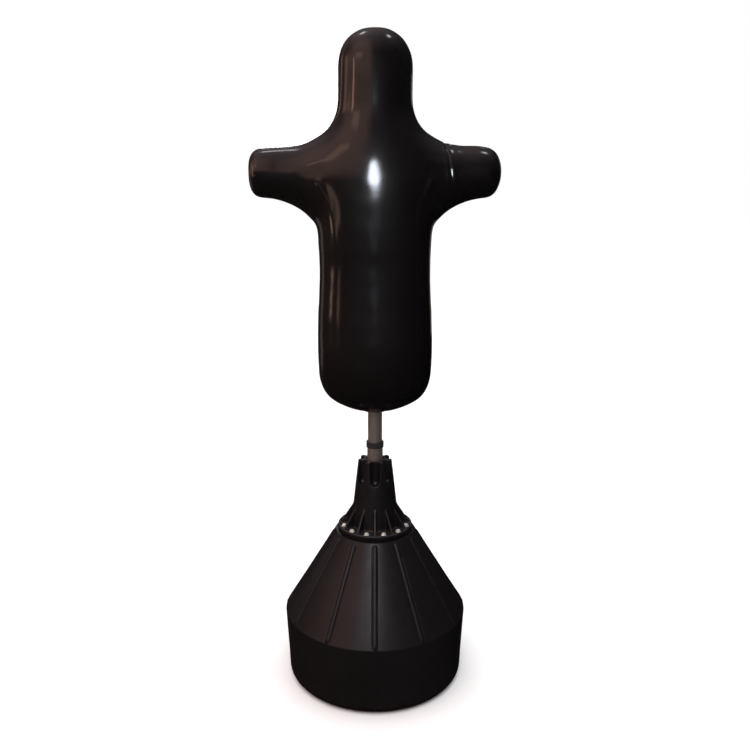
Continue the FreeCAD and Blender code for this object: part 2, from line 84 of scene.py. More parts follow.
def surface_nets(F, gx, gy, gz):
    """Quads of the zero surface of F (negative inside) on a rectilinear grid."""
    S = F < 0
    nx, ny, nz = F.shape
    cnt = np.zeros((nx - 1, ny - 1, nz - 1), np.int8)
    for a in (0, 1):
        for b in (0, 1):
            for c in (0, 1):
                cnt += S[a:nx - 1 + a, b:ny - 1 + b, c:nz - 1 + c]
    mask = (cnt > 0) & (cnt < 8)
    cells = np.argwhere(mask)
    idx = np.full(mask.shape, -1, np.int64)
    idx[mask] = np.arange(len(cells))
    i, j, k = cells.T
    corner = {}
    for a in (0, 1):
        for b in (0, 1):
            for c in (0, 1):
                corner[a, b, c] = (F[i + a, j + b, k + c], np.stack([gx[i + a], gy[j + b], gz[k + c]], 1))
    acc = np.zeros((len(cells), 3))
    num = np.zeros(len(cells))
    keys = list(corner)
    for p in keys:
        for q in keys:
            if sum(abs(p[t] - q[t]) for t in range(3)) == 1 and p < q:
                (va, pa), (vb, pb) = corner[p], corner[q]
                x = (va < 0) != (vb < 0)
                t = va[x] / (va[x] - vb[x])
                acc[x] += pa[x] + (pb[x] - pa[x]) * t[:, None]
                num[x] += 1
    verts = acc / num[:, None]
    quads = []
    for axis in range(3):
        sl0 = [slice(1, -1)] * 3
        sl1 = [slice(1, -1)] * 3
        sl0[axis], sl1[axis] = slice(0, -1), slice(1, None)
        a, b = S[tuple(sl0)], S[tuple(sl1)]
        e = np.argwhere(a != b)
        if len(e) == 0:
            continue
        flip = b[tuple(e.T)]
        u, v = [(1, 2), (2, 0), (0, 1)][axis]
        base = e + 1
        base[:, axis] -= 1
        q = []
        for du, dv in ((-1, -1), (0, -1), (0, 0), (-1, 0)):
            c = base.copy()
            c[:, u] += du
            c[:, v] += dv
            q.append(idx[tuple(c.T)])
        q = np.stack(q, 1)
        q[flip] = q[flip][:, ::-1]
        quads.append(q)
    return verts, np.concatenate(quads)


def edges_of(quads):
    e = np.concatenate([quads[:, [0, 1]], quads[:, [1, 2]], quads[:, [2, 3]], quads[:, [3, 0]]])
    e.sort(axis=1)
    return e


def gradient(phi, P, e):
    d = np.eye(3) * e
    return np.stack([(phi(*(P + d[t]).T) - phi(*(P - d[t]).T)) / (2 * e) for t in range(3)], 1)


def project(phi, P, steps=3, e=0.4, cap=4.0):
    for _ in range(steps):
        g = gradient(phi, P, e)
        v = phi(*P.T)
        s = v / np.maximum((g * g).sum(1), 0.25)
        P = P - np.clip(s, -cap, cap)[:, None] * g
    return P


def unit(v):
    return v / np.maximum(np.linalg.norm(v, axis=1), 1e-12)[:, None]


def relax(phi, P, quads, rounds, amount=0.5, e=0.4, axes=(1.0, 1.0, 1.0)):
    """Evens the mesh out along the surface without leaving it."""
    ed = np.unique(edges_of(quads), axis=0)
    deg = np.bincount(ed.ravel(), minlength=len(P)).astype(float)
    for _ in range(rounds):
        m = np.stack([np.bincount(ed[:, 0], P[ed[:, 1], t], len(P)) + np.bincount(ed[:, 1], P[ed[:, 0], t], len(P))
                      for t in range(3)], 1) / deg[:, None] - P
        n = unit(gradient(phi, P, e))
        m -= (m * n).sum(1)[:, None] * n
        P = project(phi, P + amount * m * np.array(axes), 1, e)
    return P


def subdivide(P, quads):
    e = edges_of(quads)
    ue, inv = np.unique(e, axis=0, return_inverse=True)
    inv = inv.reshape(-1)
    n, m = len(P), len(quads)
    mid = (P[ue[:, 0]] + P[ue[:, 1]]) / 2
    cen = P[quads].mean(1)
    E = inv.reshape(4, m).T + n
    C = np.arange(m) + n + len(ue)
    out = [np.stack([quads[:, c], E[:, c], C, E[:, (c + 3) % 4]], 1) for c in range(4)]
    return np.concatenate([P, mid, cen]), np.concatenate(out)


def pchip(xs, ys, x):
    xs, ys = np.asarray(xs, float), np.asarray(ys, float)
    h = np.diff(xs)
    d = np.diff(ys) / h
    m = np.zeros(len(xs))
    m[0], m[-1] = d[0], d[-1]
    for i in range(1, len(xs) - 1):
        if d[i - 1] * d[i] > 0:
            w1, w2 = 2 * h[i] + h[i - 1], h[i] + 2 * h[i - 1]
            m[i] = (w1 + w2) / (w1 / d[i - 1] + w2 / d[i])
    x = np.asarray(x, float)
    i = np.clip(np.searchsorted(xs, x) - 1, 0, len(xs) - 2)
    t = np.clip((x - xs[i]) / h[i], 0, 1)
    out = ((1 + 2 * t) * (1 - t) ** 2 * ys[i] + t * (1 - t) ** 2 * h[i] * m[i]
           + t * t * (3 - 2 * t) * ys[i + 1] + t * t * (t - 1) * h[i] * m[i + 1])
    out = np.where(x < xs[0], ys[0] + (x - xs[0]) * m[0], out)
    return np.where(x > xs[-1], ys[-1] + (x - xs[-1]) * m[-1], out)


def smoothstep(t):
    t = np.clip(t, 0, 1)
    return t * t * (3 - 2 * t)


class Lut:
    """A smooth one-dimensional table with fast lookup."""

    def __init__(self, xs, ys, lo, hi, sigma, a, b, fade, clip=False):
        self.lo, self.step = lo, 0.25
        x = np.arange(lo, hi, self.step)
        v = pchip(xs, ys, np.clip(x, a, b) if clip else x)
        r = int(4 * sigma / self.step)
        k = np.exp(-0.5 * (np.arange(-r, r + 1) * self.step / sigma) ** 2)
        k /= k.sum()
        pad = np.concatenate([v[0] + (np.arange(-r, 0)) * (v[1] - v[0]), v,
                              v[-1] + np.arange(1, r + 1) * (v[-1] - v[-2])])
        s = np.convolve(pad, k, "valid")
        w = smoothstep((x - a) / fade) * smoothstep((b - x) / fade) if fade else 1.0
        self.v = v * (1 - w) + s * w

    def __call__(self, x):
        t = np.clip((x - self.lo) / self.step, 0, len(self.v) - 1.001)
        i = t.astype(np.int64)
        f = t - i
        return self.v[i] * (1 - f) + self.v[i + 1] * f


def smin(a, b, k):
    h = np.maximum(k - np.abs(a - b), 0.0) / k
    return np.minimum(a, b) - h * h * h * k / 6.0


def smax(a, b, k):
    return -smin(-a, -b, k)


def bump(x, s):
    return np.exp(-(x / s) ** 2)


def waves(P, seed, wavelength, count=9):
    """Smooth seeded undulation, about -1 to 1."""
    rng = np.random.default_rng(seed)
    out = np.zeros(len(P))
    for _ in range(count):
        d = rng.normal(size=3)
        d *= 2 * math.pi / (wavelength * rng.uniform(0.7, 1.6)) / np.linalg.norm(d)
        out += np.sin(P @ d + rng.uniform(0, 2 * math.pi))
    return out / math.sqrt(count)


# ============================================================ dummy's surface
# z, half width, half depth, y centre, exponent of the section
TRUNK = np.array([
    (760.0, 0.0, 0.0, 0.0, 2.2), (761.2, 44.0, 38.0, 0.0, 2.2), (766.0, 67.0, 51.0, 0.0, 2.25), (777.0, 92.0, 66.0, 0.0, 2.3),
    (784.5, 106.0, 75.5, 0.0, 2.35), (797.0, 122.5, 86.5, 0.0, 2.4), (812.0, 133.5, 94.0, 0.0, 2.4),
    (832.0, 141.8, 100.0, 0.0, 2.4), (861.0, 147.5, 103.5, 0.0, 2.4), (920.0, 149.5, 105.0, 0.0, 2.4),
    (990.0, 148.0, 102.0, -0.4, 2.4), (1070.0, 144.0, 98.2, -1.2, 2.4), (1140.0, 142.0, 98.0, -2.5, 2.4),
    (1200.0, 144.0, 101.8, -4.2, 2.4), (1250.0, 146.0, 105.6, -4.6, 2.35), (1300.0, 146.4, 108.6, -4.6, 2.3),
    (1345.0, 145.2, 109.4, -4.2, 2.3), (1385.0, 140.8, 108.4, -3.6, 2.25), (1415.0, 134.2, 106.4, -3.2, 2.2),
    (1440.0, 126.8, 103.5, -2.7, 2.2), (1465.0, 117.0, 99.7, -1.7, 2.1), (1490.0, 106.0, 96.0, -0.6, 2.05),
    (1512.0, 98.0, 94.0, 0.3, 2.0), (1531.0, 93.8, 93.4, 0.9, 2.0), (1560.0, 92.1, 93.7, 2.0, 2.0),
    (1600.0, 92.0, 93.6, 3.3, 2.0), (1630.0, 91.2, 92.5, 3.9, 2.0), (1650.0, 88.0, 89.0, 3.5, 2.0),
    (1660.0, 84.2, 85.4, 3.2, 2.0), (1672.0, 77.8, 79.6, 2.8, 2.0), (1682.5, 71.0, 73.2, 2.4, 2.0),
    (1694.7, 57.4, 59.6, 1.9, 2.0), (1700.8, 48.2, 50.3, 1.6, 2.0), (1707.0, 33.0, 34.6, 1.2, 2.0),
    (1709.7, 0.0, 0.0, 1.0, 2.0)])
# |x|, top z, bottom z, half depth of an arm stub
ARM = np.array([
    (60.0, 1478.0, 1246.0, 90.0), (100.0, 1473.0, 1248.0, 87.0), (130.0, 1463.0, 1250.0, 82.0), (150.0, 1454.5, 1254.0, 78.0),
    (165.0, 1447.0, 1263.0, 74.0), (180.0, 1441.5, 1275.0, 70.5), (205.0, 1437.0, 1290.0, 66.0), (240.0, 1434.0, 1303.5, 62.5),
    (265.0, 1432.5, 1308.5, 61.5), (281.0, 1431.0, 1310.0, 60.0), (292.0, 1427.0, 1313.5, 56.5), (300.0, 1420.5, 1319.5, 50.5),
    (306.0, 1412.0, 1328.0, 42.5), (310.5, 1402.0, 1338.5, 32.0), (313.5, 1392.5, 1348.5, 22.0), (315.2, 1370.5, 1370.5, 0.0)])
ZB, ZT, XE = 760.0, 1709.7, 315.2
_ra = TRUNK[:, 1] / np.maximum(TRUNK[:, 2], 1e-9)
_ra[0], _ra[-1] = _ra[1], _ra[-2]
_ah = (ARM[:, 1] - ARM[:, 2]) / 2
_rb = _ah / np.maximum(ARM[:, 3], 1e-9)
_rb[-1] = _rb[-2]
T_A = Lut(TRUNK[:, 0], TRUNK[:, 1] ** 2, 700, 1770, 7.0, ZB, ZT, 26.0)
T_R = Lut(TRUNK[:, 0], _ra, 700, 1770, 9.0, ZB, ZT, 0, True)
T_Y = Lut(TRUNK[:, 0], TRUNK[:, 3], 700, 1770, 12.0, ZB, ZT, 0, True)
T_P = Lut(TRUNK[:, 0], TRUNK[:, 4], 700, 1770, 12.0, ZB, ZT, 0, True)
A_H = Lut(ARM[:, 0], _ah ** 2, 60, 345, 6.0, 60.0, XE, 26.0)
A_C = Lut(ARM[:, 0], (ARM[:, 1] + ARM[:, 2]) / 2, 60, 345, 6.0, 60.0, XE, 0, True)
A_R = Lut(ARM[:, 0], _rb, 60, 345, 6.0, 60.0, XE, 0, True)
# the stub on the -X side ends squarer than the other
_sq = _ah.copy()
_sq[-7:] = [60.7, 59.2, 56.0, 50.5, 42.0, 29.5, 0.0]
A_Q = Lut(ARM[:, 0], _sq ** 2, 60, 345, 6.0, 60.0, XE, 20.0)


def f_trunk(x, y, z):
    p = T_P(z)
    return T_A(z) - (np.abs(x) ** p + np.abs((y - T_Y(z)) * T_R(z)) ** p) ** (2 / p)


def f_arm(x, y, z):
    s = np.maximum(np.abs(x), 60.0)
    return np.where(x > 0, A_H(s), A_Q(s)) - ((z - A_C(s)) ** 2 + (y * A_R(s)) ** 2)


def as_dist(f, x, y, z, e=0.4):
    g2 = ((f(x + e, y, z) - f(x - e, y, z)) ** 2 + (f(x, y + e, z) - f(x, y - e, z)) ** 2
          + (f(x, y, z + e) - f(x, y, z - e)) ** 2) / (4 * e * e)
    return -f(x, y, z) / np.maximum(np.sqrt(g2), 12.0)


def body(x, y, z):
    return smin(as_dist(f_trunk, x, y, z), as_dist(f_arm, x, y, z), 46.0)


def near_line(P, pts):
    """Distance in x, z from a polyline, and how far along it from 0 to 1."""
    best = np.full(len(P), 1e9)
    along = np.zeros(len(P))
    pts = np.array(pts, float)
    run = np.concatenate([[0], np.cumsum(np.linalg.norm(np.diff(pts, axis=0), axis=1))])
    for a, b, s0 in zip(pts[:-1], pts[1:], run):
        d = b - a
        L = np.linalg.norm(d)
        w = P[:, [0, 2]] - a
        t = np.clip((w @ d) / (L * L), 0, 1)
        q = np.linalg.norm(w - t[:, None] * d, axis=1)
        m = q < best
        best[m] = q[m]
        along[m] = (s0 + t[m] * L) / run[-1]
    return best, along


SEAM_Y = -22.0


def skin_detail(P, N):
    """Height of the moulded skin's own detail over the plain form, in mm."""
    x, y, z = P.T
    h = 0.42 * waves(P, 11, 150.0) + 0.16 * waves(P, 12, 62.0)
    low = smoothstep((z - 790.0) / 60.0)
    h *= 0.35 + 0.65 * low
    # raised parting seam of the mould, just in front of the sides
    ys = SEAM_Y - 17.0 * smoothstep((z - 1435.0) / 90.0) + 1.6 * np.sin(x / 61.0 + z / 83.0) + 0.7 * np.sin(z / 27.0)
    t = y - ys
    top = smoothstep((z - 1405.0) / 40.0)
    crown = 1.0 - 0.85 * smoothstep((z - 1672.0) / 22.0)
    w = (0.16 + 0.84 * top) * crown * smoothstep((0.8 - np.abs(N[:, 1])) / 0.25)
    h += w * (1.15 * bump(t, 1.6) - 0.5 * bump(np.abs(t) - 4.4, 1.9))
    # right arm: a drawn-in ring with a soft swell beside it
    front = smoothstep((30.0 - y) / 40.0)
    xg = 176.5 + (1420.0 - z) * 0.155
    g = smoothstep((z - 1335.0) / 26.0) * front
    h += g * (-1.15 * bump(x - xg, 3.4) + 0.6 * bump(x - xg - 8.5, 4.8) + 0.3 * bump(x - xg + 7.0, 4.4))
    h += 0.9 * bump(x - xg - 24.0, 12.0) * smoothstep((z - 1385.0) / 30.0) * front
    h += 2.6 * bump(x - 252.0, 34.0) * smoothstep((z - 1375.0) / 45.0)
    # left arm: a faint ring of the same kind
    h += -0.55 * bump(x + 249.0, 4.5) * smoothstep((z - 1318.0) / 18.0) * smoothstep((1366.0 - z) / 18.0) * smoothstep(-y / 30.0)
    # folds from the armpits down the chest
    fr = smoothstep((-y - 10.0) / 35.0)
    for side, k in ((1.0, 1.0), (-1.0, 0.55)):
        q, s = near_line(np.stack([x * -side, y, z], 1), [(-137.0, 1350.0), (-117.0, 1305.0), (-94.0, 1198.0), (-91.0, 1085.0)])
        width = 6.0 + 12.0 * s
        h += k * fr * (2.3 * (1 - 0.75 * s) * bump(q, width) * smoothstep((1 - s) / 0.35))
        q2, s2 = near_line(np.stack([x * -side, y, z], 1), [(-196.0, 1378.0), (-160.0, 1390.0), (-128.0, 1398.0)])
        h += k * fr * 1.1 * bump(q2, 9.0)
        q3, s3 = near_line(np.stack([x * -side, y, z], 1), [(-165.0, 1366.0), (-133.0, 1372.0)])
        h += -k * fr * 1.5 * bump(q3, 13.0)
    # shallow upright hollows on the head's front
    hd = smoothstep((z - 1470.0) / 50.0) * smoothstep((1668.0 - z) / 40.0) * fr
    h += hd * (-0.62 * bump(x + 63.0 + 4.0 * np.sin(z / 45.0), 6.5) + 0.3 * bump(x + 48.0, 10.0))
    h += -0.5 * bump(x - 70.0, 9.0) * hd
    return h


def spaced(lo, hi, step, fine=()):
    """Grid values at step, closer together inside the fine (a, b, step) ranges."""
    out = [lo]
    while out[-1] < hi:
        s = step
        for a, b, f in fine:
            if a <= out[-1] <= b:
                s = f
            elif a - step < out[-1] < a:
                s = min(s, max(f, a - out[-1]))
        out.append(out[-1] + s)
    return np.array(out)


def make_skin():
    h = 5.0
    gx = spaced(-330, 330, h, [(172, 202, h / 3)])
    gy = spaced(-128, 124, h, [(-48, -14, h / 4)])
    gz = spaced(750, 1722, h)
    X, Y, Z = np.meshgrid(gx, gy, gz, indexing="ij")
    shape = X.shape
    X, Y, Z = X.ravel(), Y.ravel(), Z.ravel()
    F = np.full(len(X), 50.0)
    near = ((np.abs(X) < 172) | ((Z > 1225) & (Z < 1500))) & (np.abs(Y + 2) < 122)
    idx = np.nonzero(near)[0]
    for part in np.array_split(idx, 8):
        F[part] = body(X[part], Y[part], Z[part])
    F = F.reshape(shape)
    P, quads = surface_nets(F, gx, gy, gz)
    P = project(body, P, 3)
    P = relax(body, P, quads, 6, 0.5, axes=(1.0, 0.35, 1.0))
    P = project(body, P, 1)
    P, quads = subdivide(P, quads)
    P = project(body, P, 2)
    P = relax(body, P, quads, 1, 0.4, axes=(1.0, 0.3, 1.0))
    P = project(body, P, 1)
    N = unit(gradient(body, P, 0.4))
    P = P + N * skin_detail(P, N)[:, None]
    P[:, 2] = np.clip(P[:, 2], 760.0, 1710.0)
    # inner face of the skin
    gx = spaced(-330, 330, 12.0)
    gy = spaced(-128, 124, 12.0)
    gz = spaced(750, 1722, 12.0)
    X, Y, Z = np.meshgrid(gx, gy, gz, indexing="ij")

    def inner(x, y, z):
        return body(x, y, z) + 4.6
    F = inner(X.ravel(), Y.ravel(), Z.ravel()).reshape(X.shape)
    Pi, qi = surface_nets(F, gx, gy, gz)
    Pi = project(inner, Pi, 3)
    Pi = relax(inner, Pi, qi, 3)
    Pi = project(inner, Pi, 1)
    # the hole that the entry ring sits in
    R = 29.5
    out = []
    for pts, q, zmax in ((P, quads, 770.0), (Pi, qi, 775.0)):
        r = np.hypot(pts[:, 0], pts[:, 1])
        low = (pts[:, 2] < zmax)
        drop = (low[q] & (r[q] < R)).all(1)
        q = q[~drop]
        e = edges_of(q)
        ue, c = np.unique(e, axis=0, return_counts=True)
        rim = np.unique(ue[c == 1])
        s = R / np.maximum(r[rim], 1e-6)
        pts[rim, 0] *= s
        pts[rim, 1] *= s
        out.append((pts, q, ue[c == 1]))
    (P, quads, rim_o), (Pi, qi, rim_i) = out
    used = np.unique(quads)
    remap = np.full(len(P), -1)
    remap[used] = np.arange(len(used))
    P, quads, rim_o = P[used], remap[quads], remap[rim_o]
    used = np.unique(qi)
    remap = np.full(len(Pi), -1)
    remap[used] = np.arange(len(used))
    Pi, qi, rim_i = Pi[used], remap[qi], remap[rim_i]
    V = np.concatenate([P, Pi])
    Q = np.concatenate([quads, qi[:, ::-1] + len(P)])
    ob = mesh_object("mannequin_skin", V * MM, [Q])
    # close the rim between outer and inner face
    bm = bmesh.new()
    bm.from_mesh(ob.data)
    bm.edges.ensure_lookup_table()
    open_edges = [ed for ed in bm.edges if ed.is_boundary]
    bmesh.ops.bridge_loops(bm, edges=open_edges)
    bm.to_mesh(ob.data)
    bm.free()
    ob.data.polygons.foreach_set("use_smooth", np.ones(len(ob.data.polygons), bool))
    ob.data.update()
    return ob


# ================================================================= base tank
CREASE_R, CREASE_Z, LOW_R, EDGE_R = 250.0, 190.0, 240.0, 26.0
TOP_R, TOP_Z, WALL, MOUTH_R, DECK = 108.0, 420.0, 6.0, 80.0, 22.0
SL = np.array([TOP_R - CREASE_R, TOP_Z - CREASE_Z])
SL = SL / np.linalg.norm(SL)
NR, NZ = SL[1], -SL[0]
FILL_AZ, FILL_Z = math.radians(75.0), 338.0
FILL_R0 = CREASE_R + SL[0] / SL[1] * (FILL_Z - CREASE_Z)
FILL_POS = np.array([FILL_R0 * math.cos(FILL_AZ), FILL_R0 * math.sin(FILL_AZ), FILL_Z])
FILL_AX = np.array([NR * math.cos(FILL_AZ), NR * math.sin(FILL_AZ), NZ])


def rounded(points):
    """Polyline of (r, z, fillet radius, spacing) with its corners rounded."""
    P = np.array([p[:2] for p in points], float)
    out = [tuple(P[0])]
    for k in range(1, len(P)):
        last = k == len(P) - 1
        rad = points[k][2]
        end = P[k]
        arc = []
        if rad and not last:
            a, b = P[k - 1] - P[k], P[k + 1] - P[k]
            a, b = a / np.linalg.norm(a), b / np.linalg.norm(b)
            ang = math.acos(np.clip(a @ b, -1, 1))
            t = rad / math.tan(ang / 2)
            c = P[k] + (a + b) / np.linalg.norm(a + b) * rad / math.sin(ang / 2)
            s, e = P[k] + a * t, P[k] + b * t
            n = max(4, int(math.ceil((math.pi - ang) / math.radians(9.0))))
            v0, v1 = s - c, e - c
            th = math.acos(np.clip(v0 @ v1 / rad ** 2, -1, 1))
            for i in range(n + 1):
                f = i / n
                w0, w1 = math.sin((1 - f) * th) / math.sin(th), math.sin(f * th) / math.sin(th)
                arc.append(tuple(c + v0 * w0 + v1 * w1))
            end = s
        start = np.array(out[-1])
        L = np.linalg.norm(end - start)
        n = max(1, int(round(L / points[k][3])))
        for i in range(1, n + 1):
            out.append(tuple(start + (end - start) * i / n))
        if arc:
            out.extend(arc[1:])
    return np.array(out)


def sector_angles(r, sectors, offsets, between, start):
    """Azimuths whose first columns keep fixed mm offsets from each sector's start."""
    step = 2 * math.pi / sectors
    rr = np.maximum(r, 60.0)
    near = np.arcsin(np.clip(offsets / rr, -0.95, 0.95))
    gap = np.linspace(near[-1], step + near[0], between + 2)[1:-1]
    one = np.concatenate([near, gap])
    return np.concatenate([start + step * k + one for k in range(sectors)])


def revolve_grid(profile, angles_of, disp=None):
    """Closed grid of revolution. The first and last profile points are on the axis or join up."""
    rows = []
    for r, z in profile:
        a = angles_of(r)
        rows.append(np.stack([r * np.cos(a), r * np.sin(a), np.full(len(a), z)], 1))
    V = np.array(rows)
    if disp is not None:
        V = disp(V)
    return V


def grid_faces(nr, nc, closed_rows):
    i = np.arange(nr if closed_rows else nr - 1)
    j = np.arange(nc)
    I, J = np.meshgrid(i, j, indexing="ij")
    I2, J2 = (I + 1) % nr, (J + 1) % nc
    q = np.stack([I * nc + J, I * nc + J2, I2 * nc + J2, I2 * nc + J], -1).reshape(-1, 4)
    return q


def make_tank():
    prof_out = rounded([
        (6.0, 0.0, 0, 12), (LOW_R, 0.0, EDGE_R, 16), (CREASE_R, CREASE_Z, 7.0, 5),
        (TOP_R, TOP_Z, 2.2, 4), (MOUTH_R, TOP_Z, 1.5, 6), (MOUTH_R, TOP_Z - DECK, 1.0, 5),
        (TOP_R + 6.0, TOP_Z - DECK, 3.0, 8), (CREASE_R - WALL - 2.0, CREASE_Z - 2.5, 6.0, 9),
        (LOW_R - WALL, WALL, EDGE_R - WALL, 12), (6.0, WALL, 0, 24)])
    off = np.concatenate([np.array([-10.6, -9.4]), np.linspace(-8.4, 8.4, 23), np.array([9.4, 10.6])])
    ang = lambda r: sector_angles(r, 12, off, 11, -math.pi / 2)
    V = revolve_grid(prof_out, ang)
    nr, nc = V.shape[:2]
    flat = V.reshape(-1, 3)
    r = np.hypot(flat[:, 0], flat[:, 1])
    az = np.arctan2(flat[:, 1], flat[:, 0])
    # signed distance out of the cone and along it
    s_along = (r - CREASE_R) * SL[0] + (flat[:, 2] - CREASE_Z) * SL[1]
    s_out = (r - CREASE_R) * NR + (flat[:, 2] - CREASE_Z) * NZ
    length = math.hypot(TOP_R - CREASE_R, TOP_Z - CREASE_Z)
    on = (s_out > -2.2) & (s_along > -1.0) & (s_along < length - 0.5)
    step = math.pi / 6
    da = (az + math.pi / 2 + step / 2) % step - step / 2
    d = r * np.sin(da)
    # rounded bead with a fine groove at each root, rounded off at the top end
    end = length - 13.0
    q = np.sqrt(d ** 2 + np.maximum(s_along - end, 0) ** 2)
    prof = np.where(q < 6.5, 3.5 * np.maximum(1 - (q / 6.5) ** 2, 0) ** 0.75, 0)
    groove = -0.8 * bump(q - 7.4, 1.05)
    fade = smoothstep((s_along - 1.0) / 9.0)
    hb = (prof + groove) * fade * on
    # slow unevenness of the moulded walls
    wall = (flat[:, 2] > 20) & ((s_out > -2.5) | (r > LOW_R - 3)) & (flat[:, 2] < 414)
    soft = smoothstep((flat[:, 2] - 20) / 60) * smoothstep((414 - flat[:, 2]) / 40)
    hw = wall * soft * (0.28 * waves(flat, 21, 170.0) - 0.42)
    hw += wall * 0.22 * bump(flat[:, 2] - 176.0, 2.2)
    nrm = np.stack([NR * np.cos(az), NR * np.sin(az), np.full(len(az), NZ)], 1)
    side = np.stack([np.cos(az), np.sin(az), np.zeros(len(az))], 1)
    up = (flat[:, 2] > CREASE_Z + 1)[:, None]
    flat = flat + np.where(up, nrm, side) * (hb + hw)[:, None]
    rr = np.hypot(flat[:, 0], flat[:, 1])
    sc = np.minimum(1.0, 249.98 / np.maximum(rr, 1e-6))
    flat[:, :2] *= sc[:, None]
    faces = grid_faces(nr, nc, False)
    V = np.concatenate([flat, [[0, 0, 0], [0, 0, WALL]]])
    j = np.arange(nc)
    j2 = (j + 1) % nc
    n0 = nr * nc
    t0 = np.stack([j2, j, np.full(nc, n0)], 1)
    t1 = np.stack([(nr - 1) * nc + j, (nr - 1) * nc + j2, np.full(nc, n0 + 1)], 1)
    tank = mesh_object("base_tank", V * MM, [faces, t0, t1])
    # filler neck, drawn about its own axis and then united with the wall
    z = FILL_AX
    x = np.cross([0, 0, 1.0], z)
    x /= np.linalg.norm(x)
    y = np.cross(z, x)

    def place(P):
        return FILL_POS + P[:, :1] * x + P[:, 1:2] * y + P[:, 2:] * z

    def lathe(profile, n, name):
        prof = rounded(profile)
        a = np.arange(n) * 2 * math.pi / n
        V = np.stack([prof[:, :1] * np.cos(a), prof[:, :1] * np.sin(a), np.repeat(prof[:, 1:], n, 1)], -1).reshape(-1, 3)
        return mesh_object(name, place(V) * MM, [grid_faces(len(prof), n, True)])
    neck = lathe([(19.0, -5.0, 0, 3), (32.0, -5.0, 0, 5), (32.0, 1.5, 1.0, 2), (24.0, 1.5, 2.5, 2), (24.0, 16.0, 1.2, 2),
                  (19.0, 16.0, 1.0, 1), (19.0, -4.99, 0, 3)], 96, "neck_tmp")
    cut = lathe([(0.01, -14.0, 0, 9), (18.9, -14.0, 0, 9), (18.9, 4.0, 0, 9), (0.01, 4.0, 0, 9)], 96, "cut_tmp")
    for tool, op in ((cut, "DIFFERENCE"), (neck, "UNION")):
        m = tank.modifiers.new("b", "BOOLEAN")
        m.operation, m.solver, m.object = op, "EXACT", tool
        bpy.context.view_layer.update()
        dg = bpy.context.evaluated_depsgraph_get()
        me = bpy.data.meshes.new_from_object(tank.evaluated_get(dg))
        tank.modifiers.clear()
        tank.data = me
    for o in (neck, cut):
        bpy.data.objects.remove(o)
    tank.data.polygons.foreach_set("use_smooth", np.ones(len(tank.data.polygons), bool))
    sharpen(tank, 40)
    return tank


# ==================================================================== collar
FTOP, TIP_Z = 434.0, 620.0


def poly_sdf(pts, r, z):
    pts = np.array(pts, float)
    d2 = np.full(r.shape, 1e18)
    s = np.ones(r.shape)
    for a, b in zip(pts, np.roll(pts, -1, axis=0)):
        e = b - a
        w0, w1 = r - a[0], z - a[1]
        t = np.clip((w0 * e[0] + w1 * e[1]) / (e @ e), 0, 1)
        d2 = np.minimum(d2, (w0 - e[0] * t) ** 2 + (w1 - e[1] * t) ** 2)
        c1, c2 = z >= a[1], z < b[1]
        c3 = e[0] * w1 > e[1] * w0
        s = np.where((c1 & c2 & c3) | (~c1 & ~c2 & ~c3), -s, s)
    return s * np.sqrt(d2)


def collar(x, y, z):
    r = np.hypot(x, y)
    az = np.arctan2(y, x)
    # neck, slightly drawn in below the gusset line
    d = poly_sdf([(-20, 424), (66.5, 424), (66.0, 434), (59.5, 490), (43.0, 640), (-20, 640)], r, z)
    d = smax(d, z - TIP_Z, 2.4)
    # gussets
    st = math.pi / 6
    a = (az + math.pi / 2 + st / 2) % st - st / 2
    u, w = r * np.cos(a), r * np.sin(a)
    fin = poly_sdf([(44, 428), (96, 428), (96, 435.4), (59.2, 491.6), (44, 491.6)], u, z)
    half = 2.5 + 0.012 * (490 - z)
    d = smin(d, smax(fin, np.abs(w) - half, 2.2), 5.0)
    # flange with its raised rim and the spigot under it
    fl = poly_sdf([(-20, 423.2), (99.8, 423.2), (99.8, 431.8), (-20, 431.8)], r, z) - 1.2
    qx, qz = np.abs(r - 98.25) - 0.25, np.abs(z - 430.0) - 3.5
    rim = np.hypot(np.maximum(qx, 0), np.maximum(qz, 0)) + np.minimum(np.maximum(qx, qz), 0) - 2.5
    fl = smin(fl, rim, 2.4)
    sp = poly_sdf([(-20, 411.5), (77.9, 411.5), (77.9, 428), (-20, 428)], r, z) - 1.5
    d = smin(smin(d, fl, 5.5), sp, 0.8)
    # flutes between the lobes
    st = 2 * math.pi / 7
    a = (az + math.pi / 2 + st / 2) % st - st / 2
    u, w = r * np.cos(a), r * np.sin(a)
    zz = np.maximum(566.0 - z, 0)
    fl = np.sqrt((u - 42.4) ** 2 + w ** 2 + (zz * 1.0) ** 2) - 13.4
    d = smax(d, -fl, 2.6)
    # bore, wider under its shoulder where the socket tube sits
    bore = np.minimum(r - 21.1, (r - 21.1 - (z - 617.6)) * 0.7071)
    bore = np.minimum(bore, np.maximum(r - 27.2, z - 470.2))
    d = smax(d, -bore, 0.9)
    # bolt holes
    st = math.pi / 6
    a = (az + math.radians(75.0) + st / 2) % st - st / 2
    hole = np.hypot(r * np.cos(a) - 87.5, r * np.sin(a)) - 3.4
    return smax(d, -hole, 0.5)


